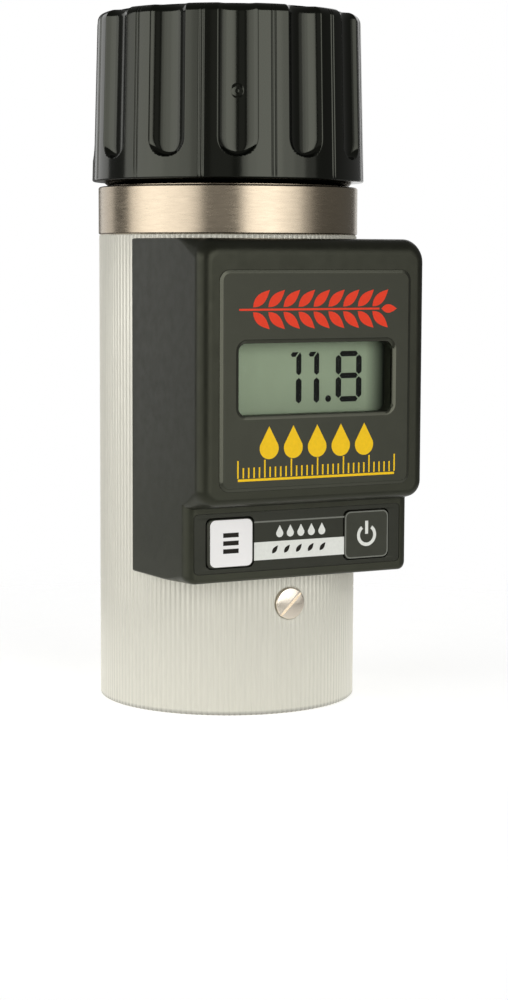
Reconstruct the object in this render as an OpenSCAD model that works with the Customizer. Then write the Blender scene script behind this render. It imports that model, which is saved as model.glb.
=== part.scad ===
// Hand-held grain moisture meter: a ribbed tube with a sample cell in its top, a display housing
// on its front and a fluted screw cap whose sprung plate packs the sample.
// Origin: centre of the base, +Z up, the display faces -Y. Millimetres.

/* [Tube] */
// Outside radius of the tube, over the ribs
tube_r = 34.3; // [34:0.1:36]
// Wall of the tube
tube_wall = 2.5; // [2:0.1:2.8]
// Height of the tube
tube_h = 123.4; // [122.8:0.1:124]

/* [Collar] */
// Radius of the metal band between the tube and the cap
band_r = 34.45; // [34:0.05:35]
// Height of the band
band_h = 12.5; // [12:0.1:13]
// Length of the neck that the cap screws on
neck_h = 13.1; // [12:0.1:13.5]
// Radius of the neck
neck_r = 30.6; // [30.4:0.1:30.7]

/* [Cap] */
// Radius of the cap at its bottom edge
cap_r = 36.07; // [35.8:0.01:37]
// Radius of the cap at its top, where the sides would meet the top face
cap_top_r = 34.88; // [34.5:0.01:36]
// Height of the cap's skirt and top together
cap_h = 43.6; // [42:0.1:46]
// Number of finger flutes
flute_count = 12; // [8:1:14]
// Width of a flute where it meets the cap's surface
flute_w = 9.9; // [8:0.1:11]
// Depth of a flute
flute_depth = 2.4; // [1.5:0.1:2.6]
// Travel of the sprung plate, which is also how far its pin sits below the cap's top
plunger_travel = 6; // [4:0.5:7]

/* [Housing] */
// Half the width of the housing at its front
housing_half_w = 32.6; // [32:0.1:32.9]
// Half the width of the housing where it meets the tube
housing_half_rear = 33; // [32.8:0.1:33.3]
// How far the display block stands in front of the tube's axis
upper_front = 47.2; // [46.5:0.1:49]
// How far the keypad block stands in front of the tube's axis
lower_front = 39.85; // [39.8:0.05:40.5]
// Height of the top of the housing
housing_top = 122.3; // [121.5:0.1:122.6]
// Height of the front edge of the step below the display block
step_z = 56.6; // [56:0.1:58]
// How far the step slopes down towards the keypad block
step_slope = 1.4; // [1:0.1:2.6]
// Height of the bottom of the housing
housing_bottom = 36.3; // [36:0.1:37]
// Wall of the housing
wall = 1.8; // [1.5:0.1:2]

/* [Display] */
// Width of the display opening
window_w = 44.4; // [40:0.1:46]
// Height of the display opening
window_h = 17.8; // [15:0.1:19]
// Height of the middle of the display opening
window_z = 87.6; // [86:0.1:89]
// Width of the raised label plate
label_w = 55.2; // [50:0.1:56]
// Bottom of the raised label plate
label_bottom = 59.9; // [59.5:0.1:62]
// Top of the raised label plate
label_top = 114.6; // [112:0.1:116]
// How far the label plate stands out
label_t = 0.5; // [0.3:0.1:1]

/* [Keys] */
// Width of a key
key_w = 13.2; // [11:0.1:13.4]
// Height of a key
key_h = 12.4; // [11:0.1:12.8]
// Where the middle of the function key is, across
function_key_x = -20.5; // [-21:0.1:-20]
// Where the middle of the power key is, across
power_key_x = 19.5; // [19.2:0.1:21]
// Height of the keys' middle
key_z = 46.3; // [46:0.1:46.6]
// Where the middle of the keypad is, across
keypad_x = -0.5; // [-0.6:0.1:0]
// Width of the recess for the keypad label
keypad_w = 60.4; // [60:0.1:60.6]
// Travel of a key
key_travel = 0.5; // [0.3:0.1:0.5]

/* [Hidden] */
$fn = 96;

eps = 0.01;              // overlap that keeps two joined shapes in one solid
far = 60;                // longer than any cut needs to be
gap = 0.3;               // room around a moving key

// Tube and collar
tube_bore = tube_r - tube_wall;
spigot_r = tube_bore - 0.1;
spigot_h = 12;
collar_bore = 28;
band_top = tube_h + band_h;
neck_top = band_top + neck_h;
lead_window = [28, 46];  // opening in the tube behind the board, across and up
lead_window_z = 83;

// Sample cell
cell_r = 26.5;
cell_wall = 1.4;
cell_bottom = 94;
cell_floor_t = 2.5;
rim_t = 1.2;
floor_top = cell_bottom + 2 * cell_floor_t;
stem_r = 4;
stem_fit = 0.05;
electrode_r = 9;
sensor_x = 16;           // where the temperature sensor sits under the cell

// Base and battery
plug_r = tube_bore - 0.15;
plug_h = 40;
plug_inner_r = 27.5;
hatch_bore = 16.5;
hatch_recess_r = 18.9;
hatch_recess_h = 3.2;
hatch_ledge_top = 5.2;
ledge_top = 8.2;
lug_angle = -60;         // where the bayonet slots are, seen from above
base_screw_z = 28.8;
base_screw_count = 2;    // one in front, one behind
battery_size = [26.5, 17.5, 46.4];
battery_z = 8.3;
terminal_x = 6.35;       // half the spacing of the snap terminals
terminal_top = battery_z + battery_size.z + 2.1;

// Housing screws, both on the centre line
upper_screw_z = 116.2;
lower_screw_z = 46;
pilot_r = 1.35;

// Display stack, as distances in front of the tube's axis
glass_front = 43.6;
glass_t = 1;
lcd_front = 42.5;
lcd_t = 2.8;
lcd_w = 50.8;
lcd_h = 30.5;
board_front = 36.2;
board_t = 1.6;
switch_front = 37.4;
key_places = [function_key_x, power_key_x];
key_front = lower_front + 0.3;
key_back = lower_front - wall - gap - 0.5;
key_hollow_front = lower_front - 1.55;
stem_tip_r = 1.7;        // button of a tact switch

// Cap
cap_gap = 0.3;           // lip of the cap above the band
skirt_z = band_top + 1.37;
cap_top = skirt_z + cap_h;
draft = atan((cap_r - cap_top_r) / cap_h);
flute_r = (flute_w * flute_w / 4 + flute_depth * flute_depth) / (2 * flute_depth);
flute_end = 5.5;         // how far above the skirt's edge the flutes end
flute_phase = 5;         // turn of the first flute from the front
cap_bore = neck_r + 0.6;
cap_inner_r = 31.9;
roof_z = cap_top - 3;
well_r = 7;
well_floor = cap_top - plunger_travel - 1.9;
hub_r = 8.5;
hub_bottom = roof_z - 18;
pin_r = 3;
bush_r = 4.6;
plate_r = 25.5;
plate_z = 141;
plate_t = 3;
spring_r = 11.6;
spring_wire = 1.4;
washer_t = 1;

// ---------- helpers ----------

// Points of an arc in the plane, from angle a0 to a1
function arc(c, r, a0, a1, n = 8) =
    [for (i = [0:n]) let (a = a0 + (a1 - a0) * i / n) c + r * [cos(a), sin(a)]];

// Rounded rectangle about the origin, exact at its corners
module round_rect(size, r) {
    square([size.x, size.y - 2 * r], center = true);
    square([size.x - 2 * r, size.y], center = true);
    for (x = [-1, 1], y = [-1, 1]) {
        translate([x * (size.x / 2 - r), y * (size.y / 2 - r)]) circle(r, $fn = 32);
    }
}

// Extrudes a front elevation, x across and z up, from y = -front back by depth
module from_front(front, depth) {
    translate([0, -front, 0]) rotate([90, 0, 0]) translate([0, 0, -depth]) linear_extrude(depth) children();
}

// Puts a shape made for the front at each of n places round the tube
module around(n, phase = 0) {
    for (i = [0:n - 1]) rotate([0, 0, phase + 360 / n * i]) children();
}

// A ring or disc standing on z = 0
module ring(r_out, r_in, h) {
    difference() {
        cylinder(r = r_out, h = h);
        translate([0, 0, -eps]) cylinder(r = r_in, h = h + 2 * eps);
    }
}

// A cylinder along -Y that starts at y = -from
module peg(from, length, r) {
    translate([0, -from, 0]) rotate([90, 0, 0]) cylinder(r = r, h = length, $fn = 48);
}

// Smooth path through hand-picked points
function spline(p, n = 4) = concat([for (i = [0:len(p) - 2], k = [0:n - 1])
    let (a = p[max(i - 1, 0)], b = p[i], c = p[i + 1], d = p[min(i + 2, len(p) - 1)], t = k / n)
    0.5 * (2 * b + (c - a) * t + (2 * a - 5 * b + 4 * c - d) * t * t
        + (3 * b - a - 3 * c + d) * t * t * t)], [p[len(p) - 1]]);

function unit(v) = v / norm(v);

// Wire of radius r along a path that never runs along X
module wire(path, r, sides = 8) {
    n = len(path);
    rings = [for (i = [0:n - 1])
        let (t = unit(path[min(i + 1, n - 1)] - path[max(i - 1, 0)]),
             u = unit(cross(t, [1, 0, 0])),
             v = cross(t, u))
        for (k = [0:sides - 1]) path[i] + r * (cos(360 * k / sides) * u + sin(360 * k / sides) * v)];
    walls = [for (i = [0:n - 2], k = [0:sides - 1])
        let (a = i * sides + k, b = i * sides + (k + 1) % sides)
        [b, a, a + sides, b + sides]];
    start = [for (k = [0:sides - 1]) k];
    end = [for (k = [sides - 1:-1:0]) (n - 1) * sides + k];
    polyhedron(rings, concat([start], walls, [end]), convexity = 4);
}

// ---------- tube, collar and cell ----------

module tube_body() {
    color("gainsboro") difference() {
        ring(tube_r, tube_bore, tube_h);
        translate([0, 0, lead_window_z]) from_front(tube_r + 2, 12) square(lead_window, center = true);
        for (z = [upper_screw_z, lower_screw_z]) translate([0, 0, z]) peg(25, 12, 1.7);
        around(base_screw_count) translate([0, 0, base_screw_z]) {
            peg(25, 12, 2.2);
            peg(33.7, 3, 4.4);
        }
    }
}

module collar_ring() {
    chamfer = 0.7;
    color("tan") difference() {
        rotate_extrude() polygon([
            [collar_bore, tube_h - spigot_h], [spigot_r, tube_h - spigot_h], [spigot_r, tube_h],
            [band_r - 0.2, tube_h], [band_r, tube_h + 0.2], [band_r, band_top - chamfer],
            [band_r - chamfer, band_top], [neck_r, band_top], [neck_r, neck_top - 0.5],
            [neck_r - 0.5, neck_top], [collar_bore, neck_top]]);
        translate([0, 0, upper_screw_z]) {
            peg(25, 8, 1.7);
            peg(25, 4.9, 3.1);
        }
    }
}

module cell_cup() {
    color("silver") rotate_extrude() polygon([
        [cell_r, cell_bottom], [cell_r + cell_wall, cell_bottom], [cell_r + cell_wall, neck_top],
        [neck_r - 0.2, neck_top], [neck_r - 0.2, neck_top + rim_t], [cell_r, neck_top + rim_t]]);
}

module cell_base() {
    color("silver") translate([0, 0, cell_bottom]) difference() {
        cylinder(r = cell_r - 0.02, h = cell_floor_t);
        translate([0, 0, -eps]) cylinder(r = 7.1, h = far);
        translate([sensor_x, 0, -eps]) cylinder(r = 1.5, h = 1.2, $fn = 24);
    }
}

module cell_floor() {
    color("ivory") translate([0, 0, cell_bottom + cell_floor_t])
        ring(cell_r - 0.1, stem_r + stem_fit, cell_floor_t);
}

module centre_electrode() {
    dome_h = 1.4;
    dome_r = (electrode_r * electrode_r + dome_h * dome_h) / (2 * dome_h);
    half = asin(electrode_r / dome_r);
    head_t = 2.6;
    top = floor_top + head_t + dome_h;
    color("khaki") rotate_extrude() polygon(concat(
        [[0, 84.5], [stem_r - 0.5, 84.5], [stem_r, 85], [stem_r, floor_top], [electrode_r, floor_top]],
        arc([0, top - dome_r], dome_r, 90 - half, 90, 10)));
}

module electrode_insulator() {
    color("white") difference() {
        union() {
            translate([0, 0, cell_bottom - 3]) cylinder(r = 10, h = 3);
            translate([0, 0, cell_bottom - eps]) cylinder(r = 7, h = cell_floor_t);
        }
        translate([0, 0, cell_bottom - far / 2]) cylinder(r = stem_r + stem_fit, h = far);
    }
}

module electrode_nut() {
    nut_t = 3.5;
    color("silver") translate([0, 0, cell_bottom - 3 - nut_t]) difference() {
        cylinder(r = 7.5, h = nut_t, $fn = 6);
        translate([0, 0, -eps]) cylinder(r = stem_r + stem_fit, h = far);
    }
}

module temperature_sensor() {
    color("dimgray") translate([sensor_x, 0, cell_bottom]) {
        cylinder(r = 1.35, h = 1.1, $fn = 24);
        translate([0, 0, -4]) cylinder(r = 2.2, h = 4, $fn = 24);
        for (y = [-1.2, 1.2]) translate([0, y, -8]) cylinder(r = 0.3, h = 4.1, $fn = 16);
    }
}

electrode_route = [[0, -7.4, 89.2], [0, -12, 88], [0, -20, 84], [0, -26, 78], [0, -30, 72],
    [0, -34.4, 70]];
module electrode_lead() {
    color("royalblue") wire(spline(electrode_route), 0.7);
}

// ---------- display housing ----------

// Half the width of the housing at a distance in front of the axis
function half_w(front) = housing_half_w
    + (housing_half_rear - housing_half_w) * (upper_front - front) / (upper_front - 9);

// Plan of a housing block whose front is at the given distance, shrunk by inset
module block_plan(front, inset, r) {
    f = front - inset;
    w = half_w(front) - inset;
    rear = half_w(5) - inset;
    polygon(concat([[-rear, -5]], arc([-w + r, -f + r], r, 180, 270), arc([w - r, -f + r], r, 270, 360),
        [[rear, -5]]));
}

// Rounds one pair of the housing's front corners, at height z. The cut leans outwards, so that
// the corners get sharper towards the back.
module corner_cut(front, z, r, up, inset) {
    lean = 7;
    for (s = [0, 1]) mirror([s, 0, 0]) translate([half_w(front) - inset, inset - front, z])
        mirror([0, 0, up ? 0 : 1]) rotate([90, 0, 0]) rotate([lean, -lean, 0])
            translate([-r, -r, -3 * r]) linear_extrude(3 * r + 10) difference() {
                square(r + 3);
                circle(r);
            }
}

// The housing as one solid, shrunk by inset: a stepped side view on a drafted plan
module housing_solid(inset) {
    upper_edge_r = 3.2 - inset;
    top_edge_r = 4.2 - inset;
    bottom = housing_bottom + inset;
    top = housing_top - inset;
    step_top = step_z + inset;
    difference() {
        intersection() {
            translate([0, 0, bottom - 1]) linear_extrude(top - bottom + 2)
                block_plan(upper_front, inset, upper_edge_r);
            translate([-far, 0, 0]) rotate([90, 0, 90]) linear_extrude(2 * far) polygon(concat([
                [0, bottom], [-lower_front + inset, bottom], [-lower_front + inset, step_top - step_slope],
                [-upper_front + inset, step_top]],
                arc([inset - upper_front + top_edge_r, top - top_edge_r], top_edge_r, 180, 90),
                [[0, top]]));
        }
        corner_cut(upper_front, top, 5 - inset, true, inset);
        corner_cut(lower_front, bottom, 3.4 - inset, false, inset);
    }
}

module housing_shell() {
    well_wall = 1.2;
    color([0.27, 0.28, 0.25]) difference() {
        union() {
            difference() {
                housing_solid(0);
                housing_solid(wall);
            }
            // well behind the display opening
            translate([0, 0, window_z]) from_front(upper_front - 1, upper_front - 1 - glass_front)
                round_rect([window_w + 2 * well_wall, window_h + 2 * well_wall], 2);
            // bosses for the two screws
            translate([0, 0, upper_screw_z]) peg(tube_r, upper_front - tube_r - 1, 3.2);
            translate([0, 0, lower_screw_z]) peg(tube_r, lower_front - tube_r - 1, 3);
        }
        translate([0, 0, -1]) cylinder(r = tube_r + 0.05, h = far * 3);
        translate([0, 0, window_z]) from_front(far, far / 2) round_rect([window_w, window_h], 2);
        translate([0, 0, upper_screw_z]) peg(tube_r - 1, 9.6, pilot_r);
        translate([0, 0, lower_screw_z]) peg(tube_r - 1, 5.6, pilot_r);
        // shallow recess for the keypad label, and the two key openings
        translate([0, 0, key_z]) {
            translate([keypad_x, 0, 0]) from_front(lower_front + 1, 1.4) round_rect([keypad_w, 15.3], 1.2);
            for (x = key_places) translate([x, 0, 0])
                from_front(lower_front + 1, 4) round_rect([key_w + 2 * gap, key_h + 2 * gap], 1.2);
        }
    }
}

module housing_screw(head_back, tip) {
    head_t = 1.5;
    difference() {
        union() {
            peg(head_back, head_t, 2.9);
            peg(head_back + head_t - eps, tip - head_back - head_t, pilot_r - 0.05);
        }
        for (a = [0, 90]) translate([0, -head_back, 0]) rotate([0, a, 0])
            cube([3.4, 1.6, 0.8], center = true);
    }
}

module housing_screws() {
    color("silver") {
        translate([0, 0, upper_screw_z]) housing_screw(28.3, 42.3);
        translate([0, 0, lower_screw_z]) housing_screw(30.1, 38.2);
    }
}

module display_label() {
    mid = (label_bottom + label_top) / 2;
    color([0.25, 0.26, 0.22]) difference() {
        translate([0, 0, mid]) from_front(upper_front + label_t, label_t)
            round_rect([label_w, label_top - label_bottom], 2.8);
        translate([0, 0, window_z]) from_front(far, far / 2) round_rect([window_w, window_h], 2);
    }
}

module display_window() {
    color([0.8, 0.85, 0.8, 0.4]) translate([0, 0, window_z])
        from_front(glass_front, glass_t) round_rect([window_w + 2, window_h + 2.2], 1);
}

module lcd_panel() {
    color([0.52, 0.57, 0.47]) translate([-lcd_w / 2, -lcd_front, window_z - lcd_h / 2])
        cube([lcd_w, lcd_t, lcd_h]);
}

module lcd_holder() {
    holder_front = lcd_front + 0.8;
    depth = holder_front - board_front;
    color("dimgray") translate([0, 0, window_z]) difference() {
        from_front(holder_front, depth) square([lcd_w + 4.2, lcd_h + 4.2], center = true);
        from_front(lcd_front + 0.05, depth) square([lcd_w + 0.3, lcd_h + 0.3], center = true);
        from_front(holder_front + 1, depth) square([window_w + 2.6, window_h + 2.8], center = true);
    }
}

module contact_strips() {
    strip = [48, 2.4];
    front = lcd_front - lcd_t - 0.02;
    color([0.3, 0.3, 0.34]) for (s = [-1, 1]) translate([0, 0, window_z + s * (lcd_h / 2 - 2)])
        from_front(front, front - board_front - 0.02) square(strip, center = true);
}

// ---------- board and keys ----------

module main_board() {
    board = [55, 71];
    color("darkgreen") difference() {
        translate([0, 0, 76.5]) from_front(board_front, board_t) round_rect(board, 1.5);
        translate([0, 0, lower_screw_z]) peg(30, 10, 3.4);
        for (x = [-24, 24], z = [62, 110]) translate([x, 0, z]) peg(30, 10, 1.1);
    }
}

// One moulded block on the back of the board, centred on x and z
module rear_chip(x, z, size) {
    translate([x - size.x / 2, -board_front + board_t, z - size.z / 2]) cube(size);
}

module board_components() {
    color([0.15, 0.15, 0.16]) {
        rear_chip(-4, 90, [9, 1.9, 12]);
        rear_chip(7, 94, [5, 1.5, 4]);
        rear_chip(7, 86, [4, 2.2, 3]);
        for (i = [0:3]) rear_chip(-9 + 3.4 * i, 78, [1.4, 0.8, 2.2]);
        for (x = [-6, 2]) translate([x, -board_front + board_t, 66]) rotate([-90, 0, 0])
            cylinder(r = 2, h = 3.4, $fn = 24);
    }
}

module tact_switches() {
    body = 6;
    color([0.2, 0.2, 0.2]) for (x = key_places) translate([x, 0, key_z]) difference() {
        from_front(switch_front, switch_front - board_front) square(body, center = true);
        peg(30, 12, stem_tip_r + 0.06);
    }
}

module keypad_label() {
    color([0.2, 0.2, 0.19]) translate([0, 0, key_z]) difference() {
        translate([keypad_x, 0, 0])
            from_front(lower_front - 0.05, 0.35) round_rect([keypad_w - 0.2, 15.1], 1.1);
        for (x = key_places) translate([x, 0, 0])
            from_front(far, far / 2) round_rect([key_w + 2 * gap, key_h + 2 * gap], 1.2);
    }
}

module key(x) {
    flange = 0.8;
    translate([x, 0, key_z]) difference() {
        union() {
            from_front(key_front, key_front - key_back) round_rect([key_w, key_h], 0.9);
            from_front(key_back + 0.5, 0.5) round_rect([key_w + 2 * flange, key_h + 2 * flange], 1.5);
        }
        from_front(key_hollow_front, 4) square(8, center = true);
    }
}

module function_key() {
    color("white") key(function_key_x);
}

module power_key() {
    color([0.22, 0.22, 0.2]) key(power_key_x);
}

module key_stem(x) {
    translate([x, 0, key_z]) peg(switch_front - gap, key_hollow_front - switch_front + gap, stem_tip_r);
}

module function_stem() {
    color("gold") key_stem(function_key_x);
}

module power_stem() {
    color("gold") key_stem(power_key_x);
}

// ---------- base and battery ----------

module base_plug() {
    slot_w = 6;
    color([0.2, 0.2, 0.2]) difference() {
        rotate_extrude() polygon([
            [hatch_recess_r, 0], [plug_r, 0], [plug_r, plug_h], [plug_inner_r, plug_h],
            [plug_inner_r, ledge_top], [23, ledge_top], [23, hatch_ledge_top],
            [hatch_bore, hatch_ledge_top], [hatch_bore, hatch_recess_h], [hatch_recess_r, hatch_recess_h]]);
        for (a = [0, 180]) rotate([0, 0, lug_angle + a]) translate([0, -slot_w / 2, hatch_recess_h - eps])
            cube([18.4, slot_w, hatch_ledge_top - hatch_recess_h + 2 * eps]);
        around(base_screw_count) translate([0, 0, base_screw_z]) peg(25, 10, 2);
    }
}

module base_screws() {
    head_r = 4.1;
    head_t = 1.4;
    color("silver") around(base_screw_count) translate([0, 0, base_screw_z]) difference() {
        union() {
            peg(33.72, head_t, head_r);
            peg(28, 6, 1.95);
        }
        translate([0, -33.72 - head_t, 0]) rotate([0, -42, 0]) cube([10, 1.8, 1.2], center = true);
    }
}

module battery() {
    translate([-battery_size.x / 2, -battery_size.y / 2, battery_z]) color("gray") cube(battery_size);
    color("silver") {
        translate([-terminal_x, 0, battery_z + battery_size.z - eps]) cylinder(r = 2.8, h = 2.1, $fn = 32);
        translate([terminal_x, 0, battery_z + battery_size.z - eps]) cylinder(r = 3.8, h = 2.1, $fn = 6);
    }
}

module battery_snap() {
    plate = [25.4, 12.6, 2.4];
    color([0.12, 0.12, 0.12]) translate([-plate.x / 2, -plate.y / 2, terminal_top + 0.1]) cube(plate);
}

snap_top = terminal_top + 2.5;
function battery_route(x) = [[x, -5, snap_top], [x, -6, 64], [x, -12, 68], [x, -20, 68],
    [x, -28, 64], [x, -34.4, 64]];
module battery_leads() {
    color("red") wire(spline(battery_route(-9)), 0.65);
    color("black") wire(spline(battery_route(9)), 0.65);
}

module battery_cradle() {
    room = 0.45;
    cradle_wall = 1.6;
    inner = [battery_size.x + 2 * room, battery_size.y + 2 * room];
    outer = inner + 2 * [cradle_wall, cradle_wall];
    color([0.3, 0.3, 0.3]) translate([0, 0, ledge_top]) difference() {
        union() {
            cylinder(r = plug_inner_r - 0.2, h = 2);
            linear_extrude(36) square(outer, center = true);
        }
        translate([0, 0, -eps]) linear_extrude(far) square(inner, center = true);
        // finger notches down the two wide sides
        for (s = [-1, 1]) translate([-5, s * inner.y / 2 - 5, 18]) cube([10, 10, far]);
    }
}

module battery_cap() {
    bottom = 0.4;
    flange_top = 2.9;
    neck_top_z = 5.6;
    groove = [3.3, 5.1];
    color([0.18, 0.18, 0.18]) difference() {
        union() {
            rotate_extrude() polygon([
                [0, bottom], [18.2, bottom], [18.55, bottom + 0.35], [18.55, flange_top], [15.9, flange_top],
                [15.9, groove[0]], [14.6, groove[0]], [14.6, groove[1]], [15.9, groove[1]], [15.9, 7.6],
                [0, 7.6]]);
            intersection() {
                translate([0, 0, neck_top_z]) cylinder(r = 18, h = 1.8);
                translate([-20, -2.5, 0]) cube([40, 5, 20]);
            }
        }
        translate([0, 0, bottom]) cube([22, 2.4, 3], center = true);
    }
}

module battery_cap_seal() {
    color("black") rotate_extrude() translate([15.54, 4.2]) circle(0.88, $fn = 32);
}

// ---------- cap and plunger ----------

module cap_shell() {
    edge = 2.5;
    lip_r = 33.2;
    top_out = cap_r - (cap_h - edge) * tan(draft);
    color([0.1, 0.1, 0.1]) difference() {
        rotate_extrude() polygon(concat([
            [cap_bore, band_top + cap_gap], [lip_r, band_top + cap_gap], [lip_r, skirt_z],
            [cap_r - 0.3, skirt_z], [cap_r, skirt_z + 0.4]],
            arc([top_out - edge, cap_top - edge], edge, -draft, 90),
            [[well_r, cap_top], [well_r, well_floor], [bush_r + 0.02, well_floor],
            [bush_r + 0.02, hub_bottom], [hub_r, hub_bottom], [hub_r, roof_z], [cap_inner_r - 1, roof_z],
            [cap_inner_r, roof_z - 1], [cap_inner_r, neck_top + 2.6], [cap_bore, neck_top + 2]]));
        around(flute_count, flute_phase) translate([0, -cap_r - flute_r + flute_depth, skirt_z])
            rotate([-draft, 0, 0]) {
                translate([0, 0, flute_end + flute_w / 2]) {
                    cylinder(r = flute_r, h = cap_h);
                    sphere(flute_r);
                }
            }
    }
}

module plunger_bush() {
    color("goldenrod") translate([0, 0, hub_bottom - 1.2]) {
        ring(bush_r, pin_r + 0.05, well_floor - hub_bottom + 1.2);
        ring(hub_r - 1, pin_r + 0.05, 1.15);
    }
}

module thrust_washer() {
    color("silver") translate([0, 0, roof_z - gap - washer_t]) ring(14.5, hub_r + 0.5, washer_t);
}

module plunger_spring() {
    top = roof_z - gap - washer_t;
    color("silver") translate([0, 0, plate_z + plate_t])
        ring(spring_r + spring_wire / 2, spring_r - spring_wire / 2, top - plate_z - plate_t);
}

module indicator_pin() {
    groove_z = well_floor + gap;
    color("silver") rotate_extrude() polygon([
        [0, plate_z + 1], [pin_r, plate_z + 1], [pin_r, groove_z], [pin_r - 0.6, groove_z],
        [pin_r - 0.6, groove_z + 0.8], [pin_r, groove_z + 0.8], [pin_r, cap_top - plunger_travel - 0.4],
        [pin_r - 0.4, cap_top - plunger_travel], [0, cap_top - plunger_travel]]);
}

module retaining_clip() {
    color("gray") translate([0, 0, well_floor + gap + 0.05]) difference() {
        ring(5.2, pin_r - 0.55, 0.7);
        translate([0, -10, 0]) cube([3.4, 20, 5], center = true);
    }
}

module pressure_plate() {
    color("silver") difference() {
        rotate_extrude() polygon([
            [0, plate_z], [plate_r - 0.6, plate_z], [plate_r, plate_z + 0.6],
            [plate_r, plate_z + plate_t], [0, plate_z + plate_t]]);
        translate([0, 0, plate_z + 1]) cylinder(r = pin_r + 0.02, h = plate_t);
        translate([0, 0, plate_z - eps]) cylinder(r = 1.6, h = plate_t);
    }
}

module plate_screw() {
    head_t = 0.9;
    color("gray") translate([0, 0, plate_z - head_t]) difference() {
        union() {
            cylinder(r = 3.6, h = head_t);
            cylinder(r = 1.5, h = head_t + 1);
        }
        cube([7.4, 1, 1], center = true);
    }
}

tube_body();
collar_ring();
cell_cup();
cell_base();
cell_floor();
centre_electrode();
electrode_insulator();
electrode_nut();
temperature_sensor();
electrode_lead();
housing_shell();
housing_screws();
display_label();
display_window();
lcd_panel();
lcd_holder();
contact_strips();
main_board();
board_components();
tact_switches();
keypad_label();
function_key();
function_stem();
power_key();
power_stem();
base_plug();
base_screws();
battery();
battery_snap();
battery_leads();
battery_cradle();
battery_cap();
battery_cap_seal();
cap_shell();
plunger_bush();
thrust_washer();
plunger_spring();
indicator_pin();
retaining_clip();
pressure_plate();
plate_screw();
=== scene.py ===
"""Grain moisture meter: the visible model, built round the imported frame.

Lengths are in millimetres until a mesh is made, when MM turns them into metres. An angle
called phi is measured in degrees from the front (-Y) towards the right (+X), seen from
above, and a distance called front is measured forwards (-Y) from the tube's axis.
"""

from math import cos, hypot, pi, radians, sin, sqrt, tan

import bmesh
import bpy
from mathutils import Matrix, Vector


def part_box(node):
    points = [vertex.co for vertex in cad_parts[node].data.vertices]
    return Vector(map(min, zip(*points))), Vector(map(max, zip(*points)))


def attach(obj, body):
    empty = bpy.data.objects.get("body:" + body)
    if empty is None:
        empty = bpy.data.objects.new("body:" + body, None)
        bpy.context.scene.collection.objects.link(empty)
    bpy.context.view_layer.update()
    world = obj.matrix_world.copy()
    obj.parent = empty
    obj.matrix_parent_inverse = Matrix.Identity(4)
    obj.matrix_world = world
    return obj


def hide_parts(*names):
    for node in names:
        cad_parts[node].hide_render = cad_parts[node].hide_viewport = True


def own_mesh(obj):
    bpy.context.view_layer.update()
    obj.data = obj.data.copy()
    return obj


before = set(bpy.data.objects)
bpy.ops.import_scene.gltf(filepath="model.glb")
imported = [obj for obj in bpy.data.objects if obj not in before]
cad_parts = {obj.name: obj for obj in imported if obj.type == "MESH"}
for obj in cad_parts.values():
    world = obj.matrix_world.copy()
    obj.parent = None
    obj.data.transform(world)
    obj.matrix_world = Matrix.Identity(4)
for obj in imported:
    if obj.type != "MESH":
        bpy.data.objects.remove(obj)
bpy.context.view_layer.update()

MM = 0.001


# ---------- sizes ----------

def corners(node):
    """Lowest and highest corner of a CAD node, in millimetres."""
    low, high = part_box(node)
    return low / MM, high / MM


TUBE_R = corners("tube_body")[1].x
TUBE_TOP = corners("tube_body")[1].z
BORE_R = TUBE_R - 2.5
COLLAR_BOTTOM = corners("collar_ring")[0].z
COLLAR_TOP = corners("collar_ring")[1].z
BAND_R = corners("collar_ring")[1].x
BAND_TOP = TUBE_TOP + 12.5
NECK_R = 30.6
COLLAR_BORE = 28.0
CAP_BOTTOM, CAP_TOP = corners("cap_shell")[0].z, corners("cap_shell")[1].z
SKIRT_Z = CAP_BOTTOM + 1.07
CAP_R = 36.07
CAP_TOP_R = 34.88
CAP_BORE = NECK_R + 0.6
HOUSING_LOW, HOUSING_HIGH = corners("housing_shell")
LABEL_LOW, LABEL_HIGH = corners("display_label")
LABEL_FRONT = -LABEL_LOW.y
UPPER_FRONT = -HOUSING_LOW.y
LOWER_FRONT = 39.85
STEP_Z, STEP_INNER_Z = 56.6, 55.2
FRONT_HALF_WIDTH, REAR_HALF_WIDTH = 32.6, 33.0
HOUSING_BACK = 9.0
WALL = 1.8
WINDOW_SIZE = (44.4, 17.8)
WINDOW_Z = 87.6
GLASS_FRONT = -corners("display_window")[0].y
LCD_FRONT = -corners("lcd_panel")[0].y
KEY_Z = 46.3
KEY_SIZE = (13.2, 12.4)
KEY_X = {node: sum(c.x for c in corners(node)) / 2 for node in ("function_key", "power_key")}
KEY_FRONT = -corners("function_key")[0].y
KEY_BACK = -corners("function_key")[1].y
KEY_GAP = 0.3
KEYPAD_FRONT = -corners("keypad_label")[0].y
KEYPAD_LEFT, KEYPAD_RIGHT = (c.x for c in corners("keypad_label"))
KEYPAD_X, KEYPAD_W = (KEYPAD_LEFT + KEYPAD_RIGHT) / 2, KEYPAD_RIGHT - KEYPAD_LEFT
SCREW_Z = 28.8
SCREW_HEAD = (33.72, -corners("base_screws")[0].y)
SCREW_HEAD_R, SCREW_SHANK_R = 4.1, 1.95
UPPER_SCREW_Z = 116.2
LOWER_SCREW_Z = 46.0
THREAD_LEAD = 6.0


# ---------- materials ----------

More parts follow.
